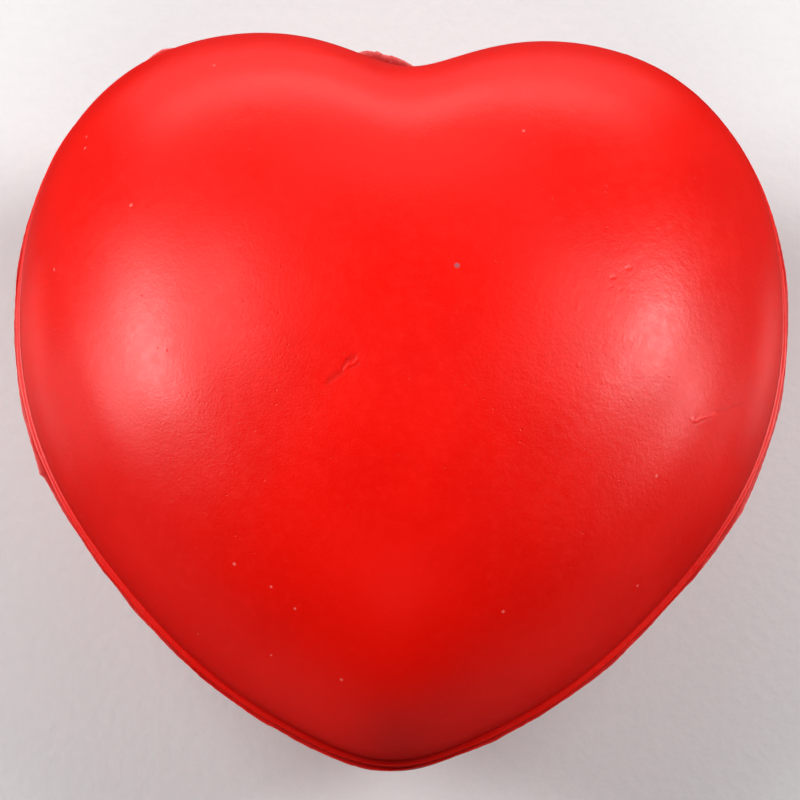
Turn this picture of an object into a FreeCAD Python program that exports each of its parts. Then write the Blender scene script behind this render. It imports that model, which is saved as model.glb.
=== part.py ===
"""A heart-shaped stress toy, moulded in one shot from self-skinning polyurethane foam.

Millimetres. +Z is up through the thickness, from the rear crown that the toy rests on to the front
crown. The heart's outline lies in XY: the tip points to -Y and the two lobes to +Y. The origin is
the middle of the bounding box, at the height of the resting face.
"""

import FreeCAD, Part
import math
import os

# Driving dimensions, in millimetres unless the name says otherwise.
HALF_THICKNESS = 22.0  # from the parting plane to a full crown
REST_DEPTH = 0.2  # how far the rear crown has settled flat under the toy's own weight
SKIN_THICKNESS = 0.8  # the dense skin, with its colour coat
SKIN_CLEARANCE = 0.15  # between the foam and a skin that moves against it
LIP_WIDTH = 0.4  # how far the raised lip stands out from the dome at the parting plane
LIP_HEIGHT = 0.8  # from the parting plane to where the lip has run out into the dome
FLASH_THICKNESS = 0.3  # the thin sheet of foam that crept out between the mould halves
FLASH_WIDTH = 0.2  # how far that sheet usually stands out past the lip
TAB_THICKNESS = 0.7  # the torn tab of foam left in the cleft

# The outline of the parting plane, measured at the lip: radius against angle about a centre in the
# heart's middle. The angle is 0 at the tip and half a turn at the cleft.
OUTLINE_CENTRE_Y = 1.4
MEAN_RADIUS = 34.7
RADIUS_WAVES = (-2.3, -0.5, 2.5, -0.8, 0.75, -0.2)  # amplitudes of 1, 2, 3... waves a turn
CLEFT_DEPTH = 2.6  # what the cleft takes off, over and above the waves
CLEFT_SPREAD = 0.21  # radians
TIP_LENGTH = 1.45  # what the tip adds
TIP_SPREAD = 0.21  # radians

# The dome over the outline: (radius fraction) ** CROWN_FLATNESS + (height fraction) ** 2 = 1.
CROWN_FLATNESS = 2.37
CROWN_RADIUS = 36.4  # the round shape that the sections turn into towards the crown
CLEFT_FADE = 1.0  # how slowly the outline's cleft fades out towards the crown
FULLEST_DEGREES = 86  # where the front dome ends in a small flat crown

# Wider stretches of the flash: (degrees from the tip, spread in degrees, extra width).
FLASH_BUMPS = (
    (67, 7, 0.22),
    (107, 6, 0.1),
    (148.5, 3.5, 1.0),
    (180, 40, 0.3),
    (215, 3.5, 1.0),
    (286, 4, 0.35),
)

# The torn tab's edge in plan, from its left root over its ragged top to its right root.
TAB_EDGE = ((-6.4, 31.6), (-5.6, 33.8), (-4.4, 34.4), (-3.2, 34.5), (-1.3, 33.8), (0.2, 33.2), (0.9, 31.0))

POINTS_PER_TURN = 96
DOME_SECTIONS = 14
PARTING_HEIGHT = HALF_THICKNESS - REST_DEPTH
CORE_INSET = SKIN_THICKNESS + SKIN_CLEARANCE


def lip_radius(angle):
    """Distance from the outline's centre to the lip, at an angle in radians from the tip."""
    from_cleft = abs(angle - math.pi)
    from_tip = math.pi - from_cleft
    waves = sum(size * math.cos(n * angle) for n, size in enumerate(RADIUS_WAVES, 1))
    cleft = CLEFT_DEPTH * math.exp(-((from_cleft / CLEFT_SPREAD) ** 2))
    tip = TIP_LENGTH * math.exp(-((from_tip / TIP_SPREAD) ** 2))
    return MEAN_RADIUS + waves - cleft + tip


def flash_radius(angle):
    """Distance from the outline's centre to the flash's ragged edge."""
    width = FLASH_WIDTH
    for degrees, spread, extra in FLASH_BUMPS:
        width += extra * math.exp(-(((math.degrees(angle) - degrees) / spread) ** 2))
    return lip_radius(angle) + width


def ring(radius, height):
    """A smooth closed wire at a height above the parting plane, from radius(angle)."""
    points = []
    for i in range(POINTS_PER_TURN):
        angle = 2 * math.pi * i / POINTS_PER_TURN
        r = radius(angle)
        x = r * math.sin(angle)
        y = OUTLINE_CENTRE_Y - r * math.cos(angle)
        points.append(FreeCAD.Vector(x, y, PARTING_HEIGHT + height))
    curve = Part.BSplineCurve()
    curve.interpolate(Points=points, PeriodicFlag=True)
    return Part.Wire(curve.toShape())


def plate(radius, bottom, top):
    """A flat slab with the outline radius(angle), between two heights above the parting plane."""
    face = Part.Face(ring(radius, bottom))
    return face.extrude(FreeCAD.Vector(0, 0, top - bottom))


def half_dome(inset, side, crown_cut=0.0):
    """A solid dome inset from the toy's surface. side is 1 for the front and -1 for the rear."""
    full_height = HALF_THICKNESS - inset
    top = math.degrees(math.asin(1 - crown_cut / full_height)) if crown_cut else FULLEST_DEGREES
    sections = []
    for i in range(DOME_SECTIONS + 1):
        rise = math.radians(top * i / DOME_SECTIONS)
        fraction = math.cos(rise) ** (2 / CROWN_FLATNESS)
        share = fraction**CLEFT_FADE

        def radius(angle, fraction=fraction, share=share):
            outline = (lip_radius(angle) - LIP_WIDTH) * share + CROWN_RADIUS * (1 - share)
            return (outline - inset) * fraction

        sections.append(ring(radius, side * full_height * math.sin(rise)))
    return Part.makeLoft(sections, True)


def lip(side):
    """The raised lip round one mould half's edge, solid to the middle so that it joins the dome."""
    # Each ring: (share of the lip's width that it stands back, share of the lip's height).
    profile = ((0.0, 0.0), (0.1, 0.5), (1.25, 1.0))
    rings = []
    for back, up in profile:

        def radius(angle, back=back):
            return lip_radius(angle) - back * LIP_WIDTH

        rings.append(ring(radius, side * up * LIP_HEIGHT))
    return Part.makeLoft(rings, True, True)


def skin(side, crown_cut=0.0):
    """One mould half's skin: an open shell with its lip, standing on the flash."""
    outside = half_dome(0.0, side, crown_cut).fuse(lip(side))
    hollow = half_dome(SKIN_THICKNESS, side)
    past_lip = 2.0
    slot = plate(lambda angle: lip_radius(angle) + past_lip, -FLASH_THICKNESS / 2, FLASH_THICKNESS / 2)
    return outside.cut(hollow).cut(slot)


def foam_core():
    """The open-celled foam that fills the skins."""
    return half_dome(CORE_INSET, 1).fuse(half_dome(CORE_INSET, -1)).removeSplitter()


def parting_flash(core):
    """The thin ragged sheet round the parting plane, rooted on the foam between the skins."""
    sheet = plate(flash_radius, -FLASH_THICKNESS / 2, FLASH_THICKNESS / 2)
    return sheet.cut(core)


def cleft_tab():
    """The torn tab in the cleft, which stands out from the flash's edge."""
    points = [FreeCAD.Vector(x, y, PARTING_HEIGHT - TAB_THICKNESS / 2) for x, y in TAB_EDGE]
    edge = Part.BSplineCurve()
    edge.interpolate(Points=points)
    root = Part.LineSegment(points[-1], points[0])
    face = Part.Face(Part.Wire([edge.toShape(), root.toShape()]))
    tab = face.extrude(FreeCAD.Vector(0, 0, TAB_THICKNESS))
    return tab.cut(plate(flash_radius, -TAB_THICKNESS, TAB_THICKNESS))


def solid_of(shape):
    """The shape's one solid, which is all that a finished piece may hold."""
    if len(shape.Solids) != 1 or not shape.isValid():
        raise ValueError(f"expected one valid solid, got {len(shape.Solids)}")
    return shape.Solids[0]


def main():
    core = foam_core()
    pieces = {
        "foam_core": core,
        "front_skin": skin(1),
        "rear_skin": skin(-1, REST_DEPTH),
        "parting_flash": parting_flash(core),
        "cleft_tab": cleft_tab(),
    }
    os.makedirs("parts", exist_ok=True)
    for name, shape in pieces.items():
        piece = solid_of(shape)
        piece.exportStep(f"parts/{name}.step")
        print(f"{name}: {piece.Volume:.1f} mm3")


main()
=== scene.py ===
"""The looks of a heart-shaped foam stress ball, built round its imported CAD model.

Shapes are worked out in millimetres in the CAD frame (+Z through the thickness, the tip towards -Y)
and become metres when a mesh is made. Angles round the heart start at the tip and reach half a turn
at the cleft between the lobes.
"""

import math

import bpy
import numpy as np
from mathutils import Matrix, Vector


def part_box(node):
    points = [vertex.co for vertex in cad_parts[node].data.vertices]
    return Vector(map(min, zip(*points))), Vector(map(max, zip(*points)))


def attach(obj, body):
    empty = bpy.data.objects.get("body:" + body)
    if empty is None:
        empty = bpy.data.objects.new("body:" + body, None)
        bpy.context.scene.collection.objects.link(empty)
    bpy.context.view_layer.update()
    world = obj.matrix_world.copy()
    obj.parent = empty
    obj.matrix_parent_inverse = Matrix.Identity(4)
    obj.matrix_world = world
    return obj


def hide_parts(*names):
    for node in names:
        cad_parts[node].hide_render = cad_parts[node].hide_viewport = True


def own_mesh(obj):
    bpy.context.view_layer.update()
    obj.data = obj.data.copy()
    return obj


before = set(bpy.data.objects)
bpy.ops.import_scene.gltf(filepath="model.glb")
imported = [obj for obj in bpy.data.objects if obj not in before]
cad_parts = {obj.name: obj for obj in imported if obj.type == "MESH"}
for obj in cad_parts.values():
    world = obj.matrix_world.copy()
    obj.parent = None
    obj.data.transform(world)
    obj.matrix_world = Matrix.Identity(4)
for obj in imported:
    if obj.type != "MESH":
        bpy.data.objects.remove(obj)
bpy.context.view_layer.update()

MM = 0.001

# Places read from the frame, in millimetres.
FLASH_LOW, FLASH_HIGH = (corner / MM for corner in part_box("parting_flash"))
PARTING_Z = (FLASH_LOW.z + FLASH_HIGH.z) / 2
FLASH_THICKNESS = FLASH_HIGH.z - FLASH_LOW.z

# The heart's outline at the lip, as part.py has it.
OUTLINE_CENTRE_Y = 1.4
MEAN_RADIUS = 34.7
RADIUS_WAVES = (-2.3, -0.5, 2.5, -0.8, 0.75, -0.2)
CLEFT_DEPTH = 2.6
CLEFT_SPREAD = 0.21
TIP_LENGTH = 1.45
TIP_SPREAD = 0.21

# The dome over the outline, as part.py has it.
HALF_THICKNESS = 22.0
CROWN_FLATNESS = 2.37
CROWN_RADIUS = 36.4
CLEFT_FADE = 1.0
SKIN_THICKNESS = 0.8
LIP_WIDTH = 0.4
CORE_INSET = 0.95

# The edge of a skin from the dome down to the flash: (distance out from the dome's wall, height over
# the parting plane). A shallow groove runs above the raised lip, which has a flat top.
EDGE_PROFILE = (
    (-0.01, 1.62),
    (-0.04, 1.45),
    (-0.08, 1.27),
    (-0.09, 1.10),
    (-0.05, 0.95),
    (0.03, 0.885),
    (0.14, 0.865),
    (0.26, 0.855),
    (0.34, 0.83),
    (0.385, 0.77),
    (0.40, 0.65),
    (0.40, 0.40),
    (0.36, 0.25),
    (0.27, 0.19),
    (0.10, 0.16),
)
EDGE_TOP = 1.75  # height over the parting plane where the dome gives way to the edge profile

# Heights over the parting plane of painted shade and highlight, and how far each reaches up and down.
GROOVE_HEIGHT = 1.25
GROOVE_REACH_ON_DOME = 1.3
GROOVE_REACH_ON_EDGE = 0.28
CREST_HEIGHT = 0.80
CREST_REACH = 0.06
TIP_SHADE = 1.3  # how much darker the whole edge is at the tip
TIP_SHADE_REACH = 0.5  # radians

# Rings of points from the crown to the edge.
FRONT_RINGS = 116
REAR_RINGS = 96
CORE_RINGS = 40


# ---------------------------------------------------------------- shape


def lip_radius(angle):
    """Distance from the outline's centre to the lip, for an array of angles."""
    from_cleft = np.abs(np.mod(angle, 2 * math.pi) - math.pi)
    from_tip = math.pi - from_cleft
    waves = sum(size * np.cos(n * from_tip) for n, size in enumerate(RADIUS_WAVES, 1))
    cleft = CLEFT_DEPTH * np.exp(-((from_cleft / CLEFT_SPREAD) ** 2))
    tip = TIP_LENGTH * np.exp(-((from_tip / TIP_SPREAD) ** 2))
    return MEAN_RADIUS + waves - cleft + tip


def on_plan(angle, radius):
    """X and Y of points at an angle and a distance from the outline's centre."""
    return radius * np.sin(angle), OUTLINE_CENTRE_Y - radius * np.cos(angle)


def dome_point(angle, rise, inset, side):
    """Points of the dome. rise is 0 at the parting plane and a quarter turn at the crown."""
    fraction = np.cos(rise) ** (2 / CROWN_FLATNESS)
    share = fraction**CLEFT_FADE
    outline = (lip_radius(angle) - LIP_WIDTH) * share + CROWN_RADIUS * (1 - share)
    x, y = on_plan(angle, (outline - inset) * fraction)
    z = PARTING_Z + side * (HALF_THICKNESS - inset) * np.sin(rise)
    return np.stack([x, y, z + 0 * x], axis=-1)


def wave_noise(points, shortest, longest, count, seed):
    """Smooth random relief of about unit size: a sum of plane waves of the given lengths in mm."""
    rng = np.random.default_rng(seed)
    total = np.zeros(len(points))
    for _ in range(count):
        direction = rng.normal(size=3)
        direction /= np.linalg.norm(direction)
        length = math.exp(rng.uniform(math.log(shortest), math.log(longest)))
        total += np.sin(points @ direction * (2 * math.pi / length) + rng.uniform(0, 2 * math.pi))
    return total * math.sqrt(2 / count)


def disc_grid(rings):
    """A square grid wrapped onto a disc, so that ring k has 8k evenly spaced points.

    Returns the ring number and the angle of every point, the faces, and the points of the last ring
    in order of angle.
    """
    steps = np.arange(-rings, rings + 1)
    i, j = np.meshgrid(steps, steps, indexing="ij")
    ring = np.maximum(abs(i), abs(j))
    with np.errstate(divide="ignore", invalid="ignore"):
        wide = math.pi / 4 * j / i + np.where(i < 0, math.pi, 0)
        tall = math.pi / 2 - math.pi / 4 * i / j + np.where(j < 0, math.pi, 0)
    angle = np.where(abs(i) >= abs(j), wide, tall)
    angle[rings, rings] = 0
    angle = np.mod(angle, 2 * math.pi)
    index = np.arange(ring.size).reshape(ring.shape)
    faces = np.stack([index[:-1, :-1], index[1:, :-1], index[1:, 1:], index[:-1, 1:]], axis=-1)
    last = index[ring == rings]
    last = last[np.argsort(angle[ring == rings])]
    return ring.ravel(), angle.ravel(), faces.reshape(-1, 4), last


def ring_faces(upper, lower):
    """Quads between two closed rings of point numbers."""
    return np.stack([upper, lower, np.roll(lower, -1), np.roll(upper, -1)], axis=-1)


def bell(offset, reach):
    """1 where the offset is 0, fading smoothly to both sides."""
    return np.exp(-((offset / reach) ** 2))


def make_mesh(name, points, faces, attributes=()):
    """A mesh object from points in mm and faces, shaded smooth, with its resting shape kept."""
    mesh = bpy.data.meshes.new(name)
    mesh.from_pydata((np.asarray(points) * MM).tolist(), [], [list(map(int, f)) for f in faces])
    rest = mesh.attributes.new("rest", "FLOAT_VECTOR", "POINT")
    rest.data.foreach_set("vector", np.asarray(points, np.float32).ravel())
    for key, values in attributes:
        attribute = mesh.attributes.new(key, "FLOAT", "POINT")
        attribute.data.foreach_set("value", np.asarray(values, np.float32))
    mesh.shade_smooth()
    obj = bpy.data.objects.new(name, mesh)
    bpy.context.scene.collection.objects.link(obj)
    return obj


# ---------------------------------------------------------------- relief of the front skin

# Broad lumps and dimples: (x, y, radius, height), in mm.
LUMPS = (
    (18.6, 5.3, 1.30, -0.020),
    (25.3, -5.4, 0.60, 0.030),
    (-8.6, 15.9, 0.60, -0.030),
    (-13.9, 19.8, 0.50, -0.030),
    (-28.4, 12.2, 0.55, -0.040),
    (-19.5, 29.0, 0.45, 0.030),
)

# Broad creases and ridges: (start, end, half width, height), in mm. They fade out at both ends.
CREASES = (
    ((-6.9, -6.1), (-3.1, -2.8), 0.80, -0.030),
    ((25.6, -6.2), (29.2, -3.6), 0.50, 0.025),
    ((-14.4, 27.2), (-8.2, 27.9), 0.45, -0.040),
    ((-13.2, 26.0), (-6.8, 27.2), 0.45, -0.035),
    ((-12.0, 28.3), (-5.2, 27.0), 0.40, 0.030),
    ((2.4, 26.3), (5.2, 24.9), 0.40, -0.030),
)


def lumps_and_creases(x, y):
    """Height of the named lumps, dimples, creases and ridges at plan positions."""
    height = np.zeros(len(x))
    for cx, cy, radius, size in LUMPS:
        height += size * np.exp(-((x - cx) ** 2 + (y - cy) ** 2) / radius**2)
    for start, end, half_width, size in CREASES:
        run = np.subtract(end, start)
        length = np.hypot(*run)
        along = ((x - start[0]) * run[0] + (y - start[1]) * run[1]) / length**2
        aside = ((x - start[0]) * run[1] - (y - start[1]) * run[0]) / length
        wander = 0.25 * half_width * np.sin(along * 9.0)
        taper = np.clip(4 * along * (1 - along), 0, 1) ** 0.7
        height += size * taper * np.exp(-(((aside + wander) / half_width) ** 2))
    return height


def soft_relief(points, seed):
    """The gentle unevenness of moulded foam: slow swells and finer ripples."""
    swells = 0.022 * wave_noise(points, 10, 28, 26, seed)
    ripples = 0.0011 * wave_noise(points, 1.6, 3.5, 60, seed + 1)
    return swells + ripples


# ---------------------------------------------------------------- skins, foam, flash and tab


def outward_normals(points, faces):
    """The unit normal at every point of a smooth surface."""
    surface = make_mesh("normals", points, faces)
    normals = np.zeros(len(points) * 3, np.float32)
    surface.data.vertex_normals.foreach_get("vector", normals)
    bpy.data.meshes.remove(surface.data)
    return normals.reshape(-1, 3)


def skin(name, side, rings, seed):
    """One closed skin: dome, edge with groove and lip, and the inside surface against the foam."""
    ring, angle, faces, last = disc_grid(rings)
    around = 8 * rings
    turn = 2 * math.pi * np.arange(around) / around
    lowest_rise = math.asin(EDGE_TOP / HALF_THICKNESS)
    rise = math.pi / 2 - (math.pi / 2 - lowest_rise) * (ring / rings) ** 1.15
    dome = dome_point(angle, rise, 0.0, side)

    # The relief fades out towards the edge, where the mould shut tight.
    inside = np.clip((rings - ring) / (0.09 * rings), 0, 1)
    inside = inside * inside * (3 - 2 * inside)
    normals = outward_normals(dome, faces if side > 0 else faces[:, ::-1])
    relief = soft_relief(dome, seed)
    if side > 0:
        relief += lumps_and_creases(dome[:, 0], dome[:, 1])
    dome = dome + normals * (relief * inside)[:, None]

    # Painted shade darkens the groove, fading up the dome, and the whole edge at the tip.
    over_groove = np.abs(dome[:, 2] - PARTING_Z) - GROOVE_HEIGHT
    groups = [dome]
    painted_edge_shade = [0.75 * bell(over_groove, GROOVE_REACH_ON_DOME)]
    crest_highlight = [np.zeros(len(dome))]
    quads = [faces]
    above = last
    count = len(dome)
    wall = lip_radius(turn) - LIP_WIDTH
    at_tip = TIP_SHADE * bell(np.minimum(turn, 2 * math.pi - turn), TIP_SHADE_REACH)
    wobble = 1 + 0.12 * np.sin(7 * turn + seed) * np.sin(3 * turn + 1) + 0.06 * np.sin(31 * turn)
    for out, height in EDGE_PROFILE:
        lean = 1 - (height / HALF_THICKNESS) ** 2
        x, y = on_plan(turn, wall * lean ** (1 / CROWN_FLATNESS) + out * wobble)
        z = np.full(around, PARTING_Z + side * height)
        groups.append(np.stack([x, y, z], axis=-1))
        painted_edge_shade.append(np.maximum(bell(height - GROOVE_HEIGHT, GROOVE_REACH_ON_EDGE), at_tip))
        # A painted highlight along the lip's crest.
        crest_highlight.append(np.full(around, bell(height - CREST_HEIGHT, CREST_REACH)))
        below = np.arange(count, count + around)
        quads.append(ring_faces(above, below))
        above = below
        count += around

    # The inside surface closes the skin: a few rings up to a fan at the crown.
    inner_rises = np.concatenate([[0.007], np.radians([6, 14, 24, 36, 50, 64, 76, 84])])
    for inner_rise in inner_rises:
        groups.append(dome_point(turn, np.full(around, inner_rise), SKIN_THICKNESS, side))
        painted_edge_shade.append(np.zeros(around))
        crest_highlight.append(np.zeros(around))
        below = np.arange(count, count + around)
        quads.append(ring_faces(above, below))
        above = below
        count += around
    groups.append(dome_point(np.zeros(1), np.full(1, math.pi / 2), SKIN_THICKNESS, side))
    painted_edge_shade.append(np.zeros(1))
    crest_highlight.append(np.zeros(1))
    fan = np.stack([above, np.full(around, count), np.roll(above, -1)], axis=-1)

    points = np.concatenate(groups)
    if side < 0:
        points[:, 2] = settle(points[:, 2])
    every = [list(f) for block in quads for f in block] + [list(f) for f in fan]
    if side < 0:
        every = [f[::-1] for f in every]
    # Painted shade and painted highlight, kept per point for the material.
    marks = (("painted_edge_shade", np.concatenate(painted_edge_shade)), ("crest_highlight", np.concatenate(crest_highlight)))
    return make_mesh(name, points, every, marks)


def settle(z):
    """Flattens what would reach below the resting face, with a soft bend at the flat's edge."""
    return 0.5 * (z + np.sqrt(z * z + 0.01))


def foam_core():
    """The foam inside, closed, with the pitted surface of cut open cells."""
    ring, angle, faces, last = disc_grid(CORE_RINGS)
    rise = math.pi / 2 - math.pi / 2 * (ring / CORE_RINGS) ** 1.15
    front = dome_point(angle, np.maximum(rise, 0.004), CORE_INSET, 1)
    rear = dome_point(angle, np.maximum(rise, 0.004), CORE_INSET, -1)
    points = np.concatenate([front, rear])
    pits = np.abs(wave_noise(points, 1.2, 3.0, 50, 31))
    centre = np.array([0, OUTLINE_CENTRE_Y, PARTING_Z])
    points = centre + (points - centre) * (1 - 0.0025 * pits)[:, None]
    shift = len(front)
    rim = np.stack([last, last + shift, np.roll(last, -1) + shift, np.roll(last, -1)], axis=-1)
    return make_mesh("foam_core_cells", points, [*faces, *(faces[:, ::-1] + shift), *rim])


# Stretches of the flash that stand out further: (degrees, spread before, spread after, width).
# A short spread on one side is a step where the sheet has torn off.
FLASH_BUMPS = (
    (2, 5, 1.5, 0.08),
    (16, 2, 6, 0.08),
    (37, 6, 4, 0.08),
    (56.5, 1.0, 6, 0.12),
    (70.5, 6, 1.0, 0.14),
    (72, 4, 5, 0.14),
    (107, 6, 8, 0.12),
    (148.6, 4.6, 3.4, 0.95),
    (172, 14, 20, 0.28),
    (198, 9, 9, 0.30),
    (215.4, 3.2, 4.0, 1.00),
    (254, 8, 5, 0.08),
    (276, 3, 3, 0.08),
    (286.2, 5.0, 0.5, 0.30),
    (287, 1.5, 2.2, 0.16),
    (313, 3, 8, 0.08),
    (341, 8, 1.0, 0.10),
)


def flash_width(turn):
    """How far the flash stands out past the lip, with its ragged edge."""
    degrees = np.degrees(turn)
    ring = np.stack([np.cos(turn), np.sin(turn), 0 * turn], axis=-1) * 35.0
    width = 0.15 + 0.03 * wave_noise(ring, 4, 14, 24, 51) + 0.008 * wave_noise(ring, 0.6, 1.8, 40, 52)
    for place, before, after, size in FLASH_BUMPS:
        gap = np.mod(degrees - place + 180, 360) - 180
        spread = np.where(gap < 0, before, after)
        width += size * np.exp(-np.abs(gap / spread) ** 1.6)
    return np.maximum(width, 0.04)


def parting_flash():
    """The thin ragged sheet round the parting plane, thinner and slightly curled at its edge."""
    around = 3200
    turn = 2 * math.pi * np.arange(around) / around
    width = flash_width(turn)
    ring = np.stack([np.cos(turn), np.sin(turn), 0 * turn], axis=-1) * 35.0
    curl = 0.05 * wave_noise(ring, 4, 16, 20, 61) + 0.02 * wave_noise(ring, 1, 3, 30, 62)
    root = lip_radius(turn) - LIP_WIDTH - 0.5
    lip = lip_radius(turn)
    # Each row: radius, height of the middle, half thickness and how torn the foam looks there.
    rows = (
        (root, 0 * turn, FLASH_THICKNESS / 2, 0.0),
        (lip - 0.1, 0 * turn, FLASH_THICKNESS / 2, 0.0),
        (lip + 0.25 * width, 0.15 * curl, 0.125, 0.0),
        (lip + 0.60 * width, 0.45 * curl, 0.10, 0.0),
        (lip + 0.88 * width, 0.85 * curl, 0.075, 0.3),
        (lip + width, curl, 0.035, 1.0),
    )
    loop = [(r, m + h, torn) for r, m, h, torn in rows]
    loop += [(r, m - h, torn) for r, m, h, torn in reversed(rows)]
    points, torn_marks = [], []
    for radius, height, torn in loop:
        x, y = on_plan(turn, radius)
        points.append(np.stack([x, y, PARTING_Z + height + 0 * x], axis=-1))
        torn_marks.append(np.full(around, torn))
    faces = []
    for k in range(len(loop)):
        here = np.arange(around) + k * around
        there = np.arange(around) + (k + 1) % len(loop) * around
        faces.append(ring_faces(here, there))
    return make_mesh(
        "parting_flash_sheet",
        np.concatenate(points),
        np.concatenate(faces),
        (("torn", np.concatenate(torn_marks)),),
    )


# The torn tab's ragged top in plan, from left to right, in mm.
TAB_TOP = (
    (-6.3, 32.2),
    (-5.5, 33.7),
    (-4.7, 34.15),
    (-3.9, 34.35),
    (-2.9, 34.3),
    (-2.3, 34.0),
    (-1.3, 33.85),
    (-0.3, 33.4),
    (0.7, 32.85),
    (1.2, 32.0),
)
TAB_ROOT = ((-6.6, 31.75), (1.25, 30.9))


def resample(points, count):
    """Points evenly spaced along a polyline."""
    points = np.asarray(points, float)
    steps = np.hypot(*np.diff(points, axis=0).T)
    along = np.concatenate([[0], np.cumsum(steps)])
    places = np.linspace(0, along[-1], count)
    return np.stack([np.interp(places, along, points[:, k]) for k in range(2)], axis=-1)


def cleft_tab():
    """The torn tab of foam in the cleft: thick at its root, thin, ragged and bowed at its top."""
    across, up = 150, 22
    top = resample(TAB_TOP, across)
    smooth = np.ones(9) / 9
    padded = np.pad(top, ((4, 4), (0, 0)), mode="edge")
    top = np.stack([np.convolve(padded[:, k], smooth, "valid") for k in range(2)], axis=-1)
    root = resample(TAB_ROOT, across)
    share = np.linspace(0, 1, up)[:, None, None]
    middle = root * (1 - share) + top * share
    flat = np.concatenate([middle, np.zeros((up, across, 1))], axis=-1).reshape(-1, 3)
    ragged = 0.022 * wave_noise(flat, 0.6, 1.8, 40, 71) + 0.012 * wave_noise(flat, 0.25, 0.5, 30, 72)
    rim = np.repeat(share.ravel() ** 6, across)
    flat[:, 1] += ragged * rim
    bow = 0.05 * wave_noise(flat, 3, 8, 20, 73) * np.repeat(share.ravel(), across)
    side = np.abs(np.linspace(-1, 1, across))
    edge = np.maximum(share.ravel()[:, None] ** 9, side[None, :] ** 30).ravel()
    half = 0.27 * (1 - 0.72 * edge) + 0.02 * wave_noise(flat, 0.4, 1.0, 30, 74)
    half = np.clip(half, 0.05, 0.32)
    upper = flat + np.stack([0 * bow, 0 * bow, PARTING_Z + bow + half], axis=-1)
    lower = flat + np.stack([0 * bow, 0 * bow, PARTING_Z + bow - half], axis=-1)
    index = np.arange(up * across).reshape(up, across)
    sheet = np.stack([index[:-1, :-1], index[:-1, 1:], index[1:, 1:], index[1:, :-1]], axis=-1)
    sheet = sheet.reshape(-1, 4)
    shift = up * across
    border = np.concatenate([index[0, :], index[1:, -1], index[-1, -2::-1], index[-2:0:-1, 0]])
    wall = np.stack([border, border + shift, np.roll(border, -1) + shift, np.roll(border, -1)], -1)
    torn = np.concatenate([edge, edge])
    return make_mesh(
        "cleft_tab_torn",
        np.concatenate([upper, lower]),
        [*sheet, *(sheet[:, ::-1] + shift), *wall],
        (("torn", torn),),
    )


# ---------------------------------------------------------------- materials


class Shader:
    """A short way to write a node tree: each call adds one node and returns its output."""

    def __init__(self, name):
        self.material = bpy.data.materials.new(name)
        self.material.use_nodes = True
        self.tree = self.material.node_tree
        self.tree.nodes.clear()

    def node(self, kind, inputs=None, output=0, **settings):
        node = self.tree.nodes.new(kind)
        for key, value in settings.items():
            setattr(node, key, value)
        for key, value in (inputs or {}).items():
            if isinstance(value, bpy.types.NodeSocket):
                self.tree.links.new(value, node.inputs[key])
            else:
                node.inputs[key].default_value = value
        return node.outputs[output]

    def attribute(self, name, output="Fac"):
        return self.node("ShaderNodeAttribute", output=output, attribute_name=name)

    def noise(self, where, length, detail=2.0, rough=0.5, distortion=0.0):
        """Noise from 0 to 1 whose features are about `length` mm across."""
        inputs = {"Vector": where, "Scale": 1 / length, "Detail": detail}
        inputs.update({"Roughness": rough, "Distortion": distortion})
        return self.node("ShaderNodeTexNoise", inputs, "Fac")

    def math(self, operation, a, b=0.0, clamp=False):
        return self.node("ShaderNodeMath", {0: a, 1: b}, operation=operation, use_clamp=clamp)

    def spread(self, value, low, high, to_low=0.0, to_high=1.0):
        """Maps low..high to to_low..to_high, smoothly and no further."""
        inputs = {"Value": value, "From Min": low, "From Max": high}
        inputs.update({"To Min": to_low, "To Max": to_high})
        return self.node("ShaderNodeMapRange", inputs, interpolation_type="SMOOTHSTEP")

    def mix(self, factor, a, b):
        """A colour between a and b."""
        inputs = {"Factor": factor, 6: a, 7: b}
        return self.node("ShaderNodeMix", inputs, 2, data_type="RGBA")

    def vector(self, operation, a, b, output="Vector"):
        return self.node("ShaderNodeVectorMath", {0: a, 1: b}, output, operation=operation)

    def stroke(self, plan, start, end, half_width):
        """1 along a straight mark between two places in plan, fading to 0 at its half width."""
        length = math.dist(start, end)
        heading = ((end[0] - start[0]) / length, (end[1] - start[1]) / length, 0)
        offset = self.vector("SUBTRACT", plan, (*start, 0))
        along = self.vector("DOT_PRODUCT", offset, heading, "Value")
        along = self.math("MINIMUM", self.math("MAXIMUM", along, 0.0), length)
        nearest = self.node("ShaderNodeCombineXYZ", {
            "X": self.math("MULTIPLY", along, heading[0]),
            "Y": self.math("MULTIPLY", along, heading[1]),
        })
        gap = self.vector("DISTANCE", offset, nearest, "Value")
        return self.spread(gap, 0.0, half_width, 1.0, 0.0)

    def bump(self, height, distance_mm, normal=None, strength=1.0):
        inputs = {"Height": height, "Distance": distance_mm * MM, "Strength": strength}
        if normal is not None:
            inputs["Normal"] = normal
        return self.node("ShaderNodeBump", inputs)

    def finish(self, **inputs):
        """The Principled surface, with inputs named as keywords with underscores for spaces."""
        named = {key.replace("_", " "): value for key, value in inputs.items()}
        surface = self.node("ShaderNodeBsdfPrincipled", named)
        output = self.tree.nodes.new("ShaderNodeOutputMaterial")
        self.tree.links.new(surface, output.inputs["Surface"])
        return self.material


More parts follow.
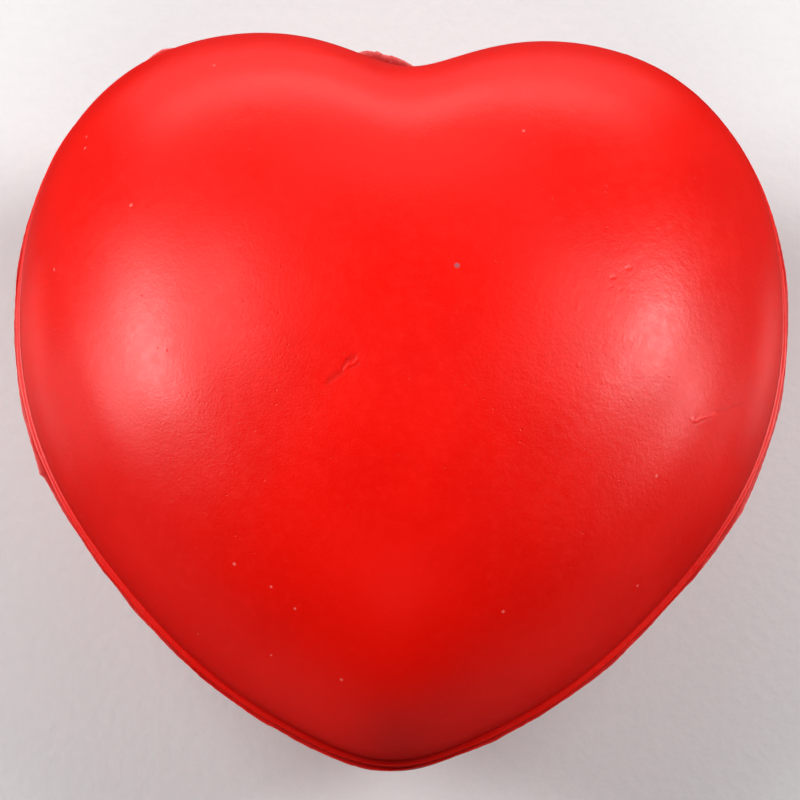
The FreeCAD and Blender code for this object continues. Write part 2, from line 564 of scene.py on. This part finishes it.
RED = (0.70, 0.0060, 0.0008, 1)
RED_DEEP = (0.64, 0.0042, 0.0005, 1)
RED_WARM = (0.76, 0.0095, 0.0022, 1)
# Painted shade for the pinholes, the groove and the marks' dents.
RED_PAINTED_SHADE = (0.34, 0.0022, 0.0008, 1)
# Painted highlight for the lip's crest.
RED_CREST_HIGHLIGHT = (0.86, 0.03, 0.018, 1)
# Painted highlight for the marks' ridges.
RED_RIDGE_HIGHLIGHT = (0.86, 0.035, 0.030, 1)
RED_FLECK = (0.85, 0.22, 0.20, 1)
RED_TORN = (0.78, 0.20, 0.19, 1)
RED_FLASH = (0.52, 0.006, 0.003, 1)
# The tab's foam, darker than the flash's by painted shade from the lobes.
RED_TAB_SHADED = (0.36, 0.004, 0.003, 1)
FLECK_GREY = (0.22, 0.12, 0.14, 1)
FOAM_WALL = (0.80, 0.17, 0.14, 1)
FOAM_WALL_DEEP = (0.72, 0.12, 0.10, 1)
# Painted shade in the foam's cell mouths.
FOAM_MOUTH_SHADE = (0.40, 0.03, 0.025, 1)
PAPER = (0.57, 0.57, 0.575, 1)
PAPER_LIGHT = (0.60, 0.60, 0.60, 1)
DESK_BLACK = (0.008, 0.008, 0.008, 1)

# Pale flecks in the front skin: (x, y, z over the parting plane, radius), in mm. The last is the
# nick's pale head.
FLECKS = (
    (-13.7, -20.1, 14.8, 0.15),
    (-10.5, -22.1, 15.0, 0.12),
    (-8.4, -23.8, 14.5, 0.12),
    (-4.3, -29.0, 11.0, 0.15),
    (-17.0, -24.2, 6.6, 0.11),
    (-10.4, -26.8, 10.1, 0.11),
    (21.2, -19.2, 8.2, 0.14),
    (9.3, -23.5, 14.3, 0.14),
    (22.3, -11.1, 14.5, 0.14),
    (-28.8, 20.8, 10.0, 0.13),
    (-28.8, 19.4, 10.7, 0.15),
    (-24.0, 11.8, 16.5, 0.17),
    (-17.4, 26.4, 13.9, 0.16),
    (-30.9, 7.6, 11.0, 0.13),
    (10.2, 18.7, 19.2, 0.13),
    (25.38, -5.79, 14.4, 0.17),
)
GREY_FLECK = (4.6, 5.0, 21.9, 0.24)

# Fine marks on the front skin: (start, end, half width, height, tint), in mm in plan. The tint is
# painted shade and highlight: above 0 it darkens a dent, and below 0 it lightens a ridge.
SCAR = (
    ((-6.20, -5.80), (-5.00, -4.85), 0.36, -0.010, 0.60),
    ((-6.10, -5.35), (-5.45, -4.80), 0.40, -0.004, 0.30),
    ((-4.95, -4.50), (-4.60, -3.75), 0.30, -0.012, 0.60),
    ((-4.60, -3.75), (-4.20, -3.35), 0.27, -0.010, 0.50),
    ((-4.30, -3.80), (-3.85, -3.35), 0.26, -0.012, 0.50),
    ((-4.30, -4.45), (-3.65, -4.10), 0.26, -0.012, 0.50),
    ((-4.75, -4.65), (-4.30, -4.10), 0.22, 0.018, -0.55),
    ((-4.10, -4.15), (-3.65, -3.65), 0.23, 0.020, -0.60),
)
NICK = (
    ((25.34, -5.84), (25.42, -5.74), 0.32, 0.020, -0.90),
    ((25.56, -6.20), (25.64, -6.12), 0.24, -0.010, 0.50),
    ((25.80, -5.85), (27.60, -4.70), 0.22, 0.013, -1.00),
    ((25.70, -6.12), (27.10, -5.20), 0.20, -0.008, 0.25),
    ((26.80, -5.15), (30.10, -2.80), 0.16, -0.006, 0.34),
)
DIMPLES = (
    ((19.38, 6.18), (19.64, 6.32), 0.30, -0.015, 0.10),
    ((18.00, 5.05), (18.24, 5.17), 0.29, -0.016, 0.10),
    ((17.92, 4.24), (18.06, 4.30), 0.22, -0.009, 0.08),
    ((18.74, 4.16), (18.86, 4.22), 0.23, -0.010, 0.12),
    ((14.92, 1.80), (15.00, 2.00), 0.28, 0.011, -0.08),
    ((15.12, -3.20), (15.18, -3.05), 0.26, 0.011, -0.08),
    ((22.66, 4.04), (22.72, 4.10), 0.18, -0.005, 0.45),
)


def near(shader, where, place, radius):
    """1 within radius of a place, fading to 0 a little outside it."""
    centre = (place[0], place[1], place[2] + PARTING_Z)
    gap = shader.vector("DISTANCE", where, centre, "Value")
    return shader.spread(gap, 0.6 * radius, 1.4 * radius, 1.0, 0.0)


def strokes(s, where, marks):
    """Fine marks of the front skin: height in mm, painted shade in dents and highlight on ridges."""
    warp = s.node("ShaderNodeTexNoise", {"Vector": where, "Scale": 1.1, "Detail": 1.0}, "Color")
    warp = s.vector("MULTIPLY", s.vector("SUBTRACT", warp, (0.5, 0.5, 0.5)), (0.28, 0.28, 0))
    plan = s.vector("ADD", s.vector("MULTIPLY", where, (1, 1, 0)), warp)
    height, tint = 0.0, 0.0
    for start, end, half_width, size, painted_tone in marks:
        mask = s.stroke(plan, start, end, half_width)
        height = s.math("ADD", height, s.math("MULTIPLY", mask, size))
        tint = s.math("ADD", tint, s.math("MULTIPLY", mask, painted_tone))
    return height, tint


def pinholes(s, where):
    """Small round pits in many of the cells of a cell pattern, fewer in some patches."""
    cells = s.tree.nodes.new("ShaderNodeTexVoronoi")
    s.tree.links.new(where, cells.inputs["Vector"])
    cells.inputs["Scale"].default_value = 1 / 0.8
    chosen = s.node("ShaderNodeSeparateColor", {"Color": cells.outputs["Color"]}, "Red")
    patch = s.spread(s.noise(where, 7.0, 1.0), 0.35, 0.6, 0.35, 1.0)
    size = s.math("MULTIPLY", s.spread(chosen, 0.35, 1.0, 0.0, 0.13), patch)
    return s.spread(s.math("SUBTRACT", size, cells.outputs["Distance"]), -0.04, 0.06)


def skin_material(name, flecks=(), marks=()):
    """Satin polyurethane skin: mottled red with grain, orange peel, pinholes, flecks and marks."""
    s = Shader(name)
    where = s.attribute("rest", "Vector")

    broad = s.noise(where, 14.0, 3.0)
    fine = s.noise(where, 0.9, 3.0, 0.6)
    colour = s.mix(s.spread(broad, 0.35, 0.65), RED, RED_DEEP)
    colour = s.mix(s.spread(fine, 0.5, 0.8, 0.0, 0.35), colour, RED_WARM)
    pits = pinholes(s, where)
    # Painted shade in the pinholes.
    colour = s.mix(s.math("MULTIPLY", pits, 0.11), colour, RED_PAINTED_SHADE)

    if flecks:
        pale = near(s, where, flecks[0][:3], flecks[0][3])
        for *place, radius in flecks[1:]:
            pale = s.math("MAXIMUM", pale, near(s, where, place, radius))
        colour = s.mix(s.math("MULTIPLY", pale, 0.6), colour, RED_FLECK)
        grey = near(s, where, GREY_FLECK[:3], GREY_FLECK[3])
        colour = s.mix(s.math("MULTIPLY", grey, 0.75), colour, FLECK_GREY)

    painted_edge_shade = s.attribute("painted_edge_shade")
    crest_highlight = s.attribute("crest_highlight")
    # Painted shade along the groove, and darker along the whole edge at the tip.
    colour = s.mix(s.math("MULTIPLY", painted_edge_shade, 0.70), colour, RED_PAINTED_SHADE)
    # A painted highlight along the lip's crest.
    colour = s.mix(s.math("MULTIPLY", crest_highlight, 0.30), colour, RED_CREST_HIGHLIGHT)

    # Roughness: satin, a little duller or glossier where it has been handled.
    smears = s.spread(s.noise(where, 9.0, 2.0, 0.5), 0.35, 0.65, -0.012, 0.018)
    grain_dull = s.spread(fine, 0.3, 0.7, -0.02, 0.03)
    rough = s.math("ADD", 0.36, s.math("ADD", smears, grain_dull))
    rough = s.math("SUBTRACT", rough, s.math("MULTIPLY", crest_highlight, 0.10))

    # Relief, from the coarsest to the finest. The +X lobe has the stronger orange peel.
    across = s.node("ShaderNodeSeparateXYZ", {"Vector": where}, "X")
    peel = s.math("MULTIPLY", s.noise(where, 0.8, 1.0, 0.5, 0.2), s.spread(across, -6, 14, 0.4, 1.0))
    normal = s.bump(peel, 0.018)
    normal = s.bump(s.noise(where, 0.25, 2.0, 0.6), 0.016, normal)
    normal = s.bump(pits, -0.018, normal)
    if marks:
        height, tint = strokes(s, where, marks)
        # Painted shade in the marks' dents and a painted highlight on their ridges.
        colour = s.mix(s.math("MULTIPLY", tint, 0.60, clamp=True), colour, RED_PAINTED_SHADE)
        colour = s.mix(s.math("MULTIPLY", tint, -0.40, clamp=True), colour, RED_RIDGE_HIGHLIGHT)
        normal = s.bump(height, 1.0, normal)
    return s.finish(
        Base_Color=colour,
        Roughness=rough,
        Specular_IOR_Level=0.32,
        Normal=normal,
    )


def flash_material(name, tone):
    """Thin uncoated foam: deeper red where it is pinched, pale and ragged where it tore."""
    s = Shader(name)
    where = s.attribute("rest", "Vector")
    torn = s.attribute("torn")
    patchy = s.noise(where, 0.35, 3.0, 0.6)
    broad = s.noise(where, 3.0, 2.0)
    darker = (0.84 * tone[0], 0.7 * tone[1], 0.7 * tone[2], 1)
    colour = s.mix(s.spread(broad, 0.4, 0.6), tone, darker)
    edge = s.math("MULTIPLY", torn, s.spread(patchy, 0.25, 0.7, 0.45, 1.0))
    colour = s.mix(edge, colour, RED_TORN)
    rough = s.math("ADD", 0.42, s.math("MULTIPLY", torn, 0.25))
    normal = s.bump(s.noise(where, 0.22, 3.0, 0.65), 0.03)
    return s.finish(
        Base_Color=colour,
        Roughness=rough,
        Specular_IOR_Level=0.3,
        Normal=normal,
    )


def foam_material():
    """Open-celled foam, paler than the skin, with painted shade in its cell mouths."""
    s = Shader("open_foam")
    where = s.attribute("rest", "Vector")
    cells = s.node("ShaderNodeTexVoronoi", {"Vector": where, "Scale": 1 / 0.7}, "Distance")
    mouths = s.spread(cells, 0.1, 0.55)
    tint = s.noise(where, 5.0, 2.0)
    walls = s.mix(s.spread(tint, 0.4, 0.6), FOAM_WALL, FOAM_WALL_DEEP)
    # Painted shade in the cell mouths.
    colour = s.mix(mouths, FOAM_MOUTH_SHADE, walls)
    normal = s.bump(mouths, 0.25)
    return s.finish(Base_Color=colour, Roughness=0.85, Normal=normal)


def floor_material():
    """Pale matt paper with a barely visible tooth. The toy's own gloss shows a polished black desk in
    its place, as dark round the toy's edge as the real one."""
    s = Shader("studio_paper")
    where = s.node("ShaderNodeTexCoord", output="Object")
    tooth = s.node("ShaderNodeTexNoise", {"Vector": where, "Scale": 900.0, "Detail": 2.0}, "Fac")
    paper = s.mix(tooth, PAPER, PAPER_LIGHT)
    reflected = s.node("ShaderNodeLightPath", output="Is Glossy Ray")
    return s.finish(
        Base_Color=s.mix(reflected, paper, DESK_BLACK),
        Roughness=s.spread(reflected, 0.0, 1.0, 0.7, 0.18),
        Specular_IOR_Level=s.spread(reflected, 0.0, 1.0, 0.08, 0.55),
        Normal=s.bump(tooth, 0.05),
    )


# ---------------------------------------------------------------- studio


def aim(obj, place, target):
    obj.location = place
    obj.rotation_euler = (Vector(target) - Vector(place)).to_track_quat("-Z", "Y").to_euler()


def around_toy(azimuth, elevation, distance, target):
    """A place at a distance from the target. Azimuth 0 is in front of the tip, 90 is +X."""
    a, e = math.radians(azimuth), math.radians(elevation)
    toward = Vector((math.sin(a) * math.cos(e), -math.cos(a) * math.cos(e), math.sin(e)))
    return Vector(target) + toward * distance


def softbox(name, azimuth, elevation, width, height, radiance, target):
    """A rectangular soft light facing the target, unseen by the camera itself."""
    light = bpy.data.lights.new(name, "AREA")
    light.shape = "RECTANGLE"
    light.size, light.size_y = width, height
    light.energy = radiance * math.pi * width * height
    obj = bpy.data.objects.new(name, light)
    aim(obj, around_toy(azimuth, elevation, LIGHT_DISTANCE, target), target)
    obj.visible_camera = False
    bpy.context.scene.collection.objects.link(obj)
    return obj


# The camera, seen from the toy: it looks down steeply from the tip's side, rolled a little.
CAMERA_AZIMUTH = -0.37
CAMERA_ELEVATION = 71.5
CAMERA_DISTANCE = 0.34157
CAMERA_ROLL = 1.95
CAMERA_LENS = 169.45
CAMERA_SHIFT = 0.001


def camera(target):
    data = bpy.data.cameras.new("camera")
    data.lens = CAMERA_LENS
    data.sensor_width = 36.0
    data.shift_x = CAMERA_SHIFT
    obj = bpy.data.objects.new("camera", data)
    aim(obj, around_toy(CAMERA_AZIMUTH, CAMERA_ELEVATION, CAMERA_DISTANCE, target), target)
    obj.rotation_euler.rotate_axis("Z", math.radians(CAMERA_ROLL))
    bpy.context.scene.collection.objects.link(obj)
    bpy.context.scene.camera = obj


# Soft lights: (name, azimuth, elevation, width, height, radiance). Most of the light comes from two
# large boxes at the sides, with smaller ones high behind them.
SOFTBOXES = (
    ("left_softbox", -99, 33, 0.30, 0.21, 17.5),
    ("right_softbox", 104, 34, 0.22, 0.21, 21.0),
    ("rear_left_high", -120, 55, 0.20, 0.20, 7.5),
    ("rear_right_high", 120, 55, 0.20, 0.20, 5.2),
    ("rear_high", 180, 42, 0.30, 0.18, 2.2),
    ("rear_low", -176, 11, 1.00, 0.17, 4.3),
)
# Low boxes that only leave their reflection, and a fill that leaves none.
GLEAMS = (
    ("left_gleam", -88, 13, 0.26, 0.20, 7.5),
    ("right_gleam", 88, 13, 0.26, 0.20, 8.5),
)
FRONT_FILL = ("front_fill", 0, 48, 0.34, 0.30, 3.6)
LIGHT_DISTANCE = 0.7
# What the air gives off as light, and what the camera sees of it behind the floor.
AIR_LIGHT = (0.008, 0.008, 0.0084, 1)
BACKDROP = (0.50, 0.50, 0.505, 1)
FLOOR_RADIUS = 560.0  # mm


def studio():
    middle = (0, 0, PARTING_Z * MM)
    for box in SOFTBOXES:
        softbox(*box, middle)
    for box in GLEAMS:
        softbox(*box, middle).visible_diffuse = False
    softbox(*FRONT_FILL, middle).visible_glossy = False

    world = bpy.data.worlds.new("studio_air")
    world.use_nodes = True
    tree = world.node_tree
    seen = tree.nodes.new("ShaderNodeLightPath").outputs["Is Camera Ray"]
    air = tree.nodes.new("ShaderNodeMix")
    air.data_type = "RGBA"
    air.inputs[6].default_value = AIR_LIGHT
    air.inputs[7].default_value = BACKDROP
    tree.links.new(seen, air.inputs["Factor"])
    tree.links.new(air.outputs[2], tree.nodes["Background"].inputs["Color"])
    bpy.context.scene.world = world

    make_floor()
    camera(middle)
    bpy.context.scene.view_settings.view_transform = "Standard"
    bpy.context.scene.view_settings.look = "Medium High Contrast"


def make_floor():
    """A round sheet of paper under the toy, cut into rings so that it isn't one bare face."""
    around, rings = 96, 12
    turn = 2 * math.pi * np.arange(around) / around
    points, faces = [np.zeros((1, 3))], []
    for k in range(1, rings + 1):
        radius = FLOOR_RADIUS * (k / rings) ** 2
        points.append(np.stack([radius * np.cos(turn), radius * np.sin(turn), 0 * turn], axis=-1))
    first = np.arange(around) + 1
    faces += [[0, a, b] for a, b in zip(first, np.roll(first, -1))]
    for k in range(rings - 1):
        inner = first + k * around
        faces += ring_faces(inner, inner + around).tolist()
    floor = make_mesh("floor", np.concatenate(points), faces)
    floor.data.materials.append(floor_material())
    return floor


# ---------------------------------------------------------------- assembly


def place(piece, body, node, slot, material, fill):
    """Gives a piece its material and its place in the frame."""
    piece.data.materials.append(material)
    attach(piece, body)
    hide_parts(node)
    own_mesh(piece)


studio()
front_look = skin_material("front_satin_skin", FLECKS, SCAR + NICK + DIMPLES)
rear_look = skin_material("rear_satin_skin")
flash_look = flash_material("flash_foam", RED_FLASH)
# The tab wears the flash's foam in a darker red: painted shade from the lobes above it.
tab_look = flash_material("tab_foam", RED_TAB_SHADED)
place(skin("front_skin_shell", 1, FRONT_RINGS, 11), "front_half", "front_skin", "skin", front_look, 0.9)
place(skin("rear_skin_shell", -1, REAR_RINGS, 21), "rear_half", "rear_skin", "skin", rear_look, 0.9)
place(foam_core(), "middle", "foam_core", "foam", foam_material(), 1.0)
place(parting_flash(), "middle", "parting_flash", "flash", flash_look, 0.9)
place(cleft_tab(), "middle", "cleft_tab", "flash", tab_look, 0.9)
